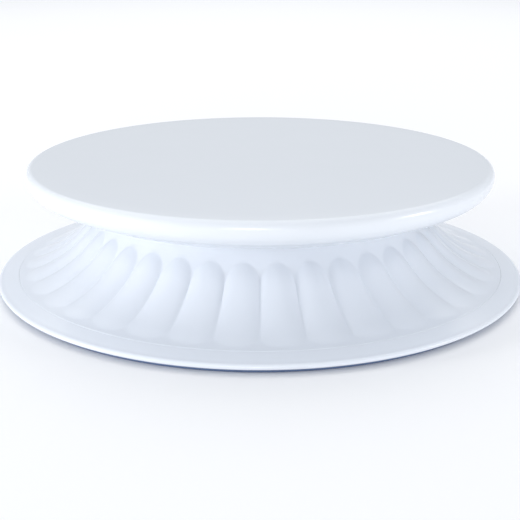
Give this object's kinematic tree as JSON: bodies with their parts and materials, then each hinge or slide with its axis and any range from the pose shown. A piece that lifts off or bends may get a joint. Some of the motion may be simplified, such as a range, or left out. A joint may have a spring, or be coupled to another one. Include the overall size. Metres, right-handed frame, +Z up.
{
  "type": "cake turntable",
  "caption": "White cake turntable: a round, double-walled plate with a rolled edge turns on a ball ring over a reeded, trumpet-shaped base.",
  "frame": {"origin": "on the table under the spin axis, at the bottom centre of the bounding box", "axes": "+Z is up along the spin axis, and the object is round about it; +X is the right and -Y the front"},
  "size_m": [0.318, 0.318, 0.0725],
  "materials": {
    "plate_plastic": "white, smooth and glossy, with a faint orange peel from moulding",
    "base_plastic": "white, glossy, slightly cooler than the plate",
    "carrier_plastic": "white, satin from the mould",
    "cover_plastic": "white, finely textured",
    "race_steel": "pressed steel, lightly oiled, brushed in circles",
    "ball_steel": "polished bearing steel",
    "spindle_steel": "turned steel, fine circular marks",
    "spring_steel": "dark, phosphated spring steel",
    "screw_steel": "zinc-plated screws",
    "acetal": "natural acetal, smooth and waxy",
    "foot_rubber": "blue-grey silicone, matte"
  },
  "bodies": {
    "base": {"base_shell": "base_plastic", "base_ring": "base_plastic", "foot_ring": "foot_rubber", "bottom_cover": "cover_plastic", "cover_screws": "screw_steel", "bearing_carrier": "carrier_plastic", "upper_bush": "acetal", "lower_bush": "acetal", "lower_race": "race_steel", "lower_race_screws": "screw_steel"},
    "plate": {"top_plate": "plate_plastic", "plate_skirt": "plate_plastic", "skirt_screws": "screw_steel", "upper_race": "race_steel", "upper_race_screws": "screw_steel", "spindle": "spindle_steel", "spindle_screws": "screw_steel", "thrust_washer": "acetal", "retaining_ring": "spring_steel"},
    "cage": {"ball_cage": "acetal", "bearing_balls": "ball_steel"}
  },
  "joints": [
    {"name": "plate_spin", "type": "hinge", "parent": "base", "child": "plate", "pos_m": [0, 0, 0.05], "axis": [0, 0, 1], "continuous": true},
    {"name": "cage_spin", "type": "hinge", "parent": "base", "child": "cage", "pos_m": [0, 0, 0.05], "axis": [0, 0, 1], "continuous": true}
  ],
  "couplings": [
    {"joint": "cage_spin", "follows": "plate_spin", "ratio": 0.5}
  ]
}
